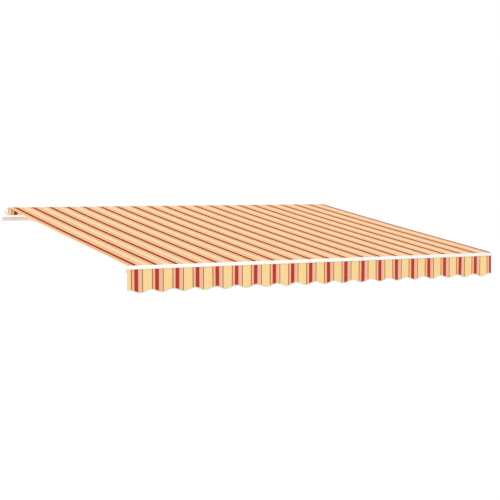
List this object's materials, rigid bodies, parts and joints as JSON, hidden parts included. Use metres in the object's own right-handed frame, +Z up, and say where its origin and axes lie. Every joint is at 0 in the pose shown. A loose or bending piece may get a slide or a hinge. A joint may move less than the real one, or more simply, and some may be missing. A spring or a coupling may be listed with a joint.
{
  "type": "folding arm awning",
  "caption": "Striped fabric awning on a wall-mounted roller, held out by elbowed folding arms with a white front rail and a scalloped valance.",
  "frame": {"origin": "middle of the centre wall bracket's flat back face, in the plane of the wall", "axes": "+X along the wall towards the end with the gearbox and crank eye; +Y into the wall; +Z up; the awning reaches out along -Y"},
  "size_m": [4, 3.1679, 0.6611],
  "materials": {
    "coat": "white powder coat over aluminium, satin",
    "steel_coat": "white powder coat over steel, satin",
    "plastic": "white moulded plastic",
    "steel": "zinc plated",
    "spring": "oiled spring steel",
    "alloy": "mill finish",
    "cloth": "woven acrylic in yellow, red, salmon and brown stripes"
  },
  "bodies": {
    "frame": {"arm_bracket_bolt_left": "steel", "arm_bracket_bolt_right": "steel", "arm_bracket_left": "coat", "arm_bracket_right": "coat", "arm_cradle_left": "coat", "arm_cradle_right": "coat", "arm_keeper_left": "coat", "arm_keeper_right": "coat", "bracket_keeper_centre": "coat", "bracket_keeper_left": "coat", "bracket_keeper_right": "coat", "canopy": "cloth", "cradle_pin_left": "steel", "cradle_pin_right": "steel", "gearbox": "plastic", "keeper_bolt_centre": "steel", "keeper_bolt_left": "steel", "keeper_bolt_right": "steel", "pitch_screw_left": "steel", "pitch_screw_right": "steel", "roller_plate_left": "steel_coat", "roller_plate_right": "steel_coat", "shoulder_pin_left": "steel", "shoulder_pin_right": "steel", "torsion_bar": "steel_coat", "wall_bracket_centre": "coat", "wall_bracket_left": "coat", "wall_bracket_right": "coat"},
    "roller": {"roller_tube": "alloy", "fabric_roll": "cloth", "roller_cap_left": "plastic", "roller_cap_right": "plastic"},
    "crank": {"crank_eye": "steel"},
    "front_rail": {"front_bar": "coat", "front_bar_cap_left": "plastic", "front_bar_cap_right": "plastic", "valance": "cloth", "wrist_bracket_left": "coat", "wrist_bracket_right": "coat", "wrist_pin_left": "steel", "wrist_pin_right": "steel"},
    "left_rear_arm": {"shoulder_knuckle_left": "coat", "rear_arm_left": "coat", "rear_elbow_left": "coat", "elbow_pin_left": "steel"},
    "left_forearm": {"front_elbow_left": "coat", "forearm_left": "coat", "arm_spring_left": "spring", "wrist_knuckle_left": "coat"},
    "right_rear_arm": {"shoulder_knuckle_right": "coat", "rear_arm_right": "coat", "rear_elbow_right": "coat", "elbow_pin_right": "steel"},
    "right_forearm": {"front_elbow_right": "coat", "forearm_right": "coat", "arm_spring_right": "spring", "wrist_knuckle_right": "coat"}
  },
  "joints": [
    {"name": "left_arm_fold", "type": "hinge", "parent": "frame", "child": "left_rear_arm", "pos_m": [-1.585, -0.158, -0.008], "axis": [0, -0.1157, 0.9933], "range_deg": [0, 78], "deforming": ["canopy"]},
    {"name": "left_elbow", "type": "hinge", "parent": "left_rear_arm", "child": "left_forearm", "pos_m": [-1.35258, -1.61558, -0.17783], "axis": [0, -0.1157, 0.9933], "range_deg": [-156, 0]},
    {"name": "left_wrist", "type": "hinge", "parent": "left_forearm", "child": "front_rail", "pos_m": [-1.585, -3.07315, -0.34767], "axis": [0, -0.1157, 0.9933], "range_deg": [0, 78]},
    {"name": "right_arm_fold", "type": "hinge", "parent": "frame", "child": "right_rear_arm", "pos_m": [1.585, -0.158, -0.008], "axis": [0, -0.1157, 0.9933], "range_deg": [-78, 0]},
    {"name": "right_elbow", "type": "hinge", "parent": "right_rear_arm", "child": "right_forearm", "pos_m": [1.35258, -1.61558, -0.17783], "axis": [0, -0.1157, 0.9933], "range_deg": [0, 156]},
    {"name": "roller_turn", "type": "hinge", "parent": "frame", "child": "roller", "pos_m": [0, -0.123, 0.08], "axis": [-1, 0, 0], "range_deg": [0, 3648]},
    {"name": "crank_turn", "type": "hinge", "parent": "frame", "child": "crank", "pos_m": [1.9757, -0.142, 0.07], "axis": [0, -0.342, -0.9397], "range_deg": [0, 25531]}
  ],
  "couplings": [
    {"joint": "left_elbow", "follows": "left_arm_fold", "ratio": -2},
    {"joint": "left_wrist", "follows": "left_arm_fold", "ratio": 1},
    {"joint": "right_arm_fold", "follows": "left_arm_fold", "ratio": -1},
    {"joint": "right_elbow", "follows": "left_arm_fold", "ratio": 2},
    {"joint": "roller_turn", "follows": "left_arm_fold", "ratio": 46.76},
    {"joint": "crank_turn", "follows": "left_arm_fold", "ratio": 327.32}
  ]
}
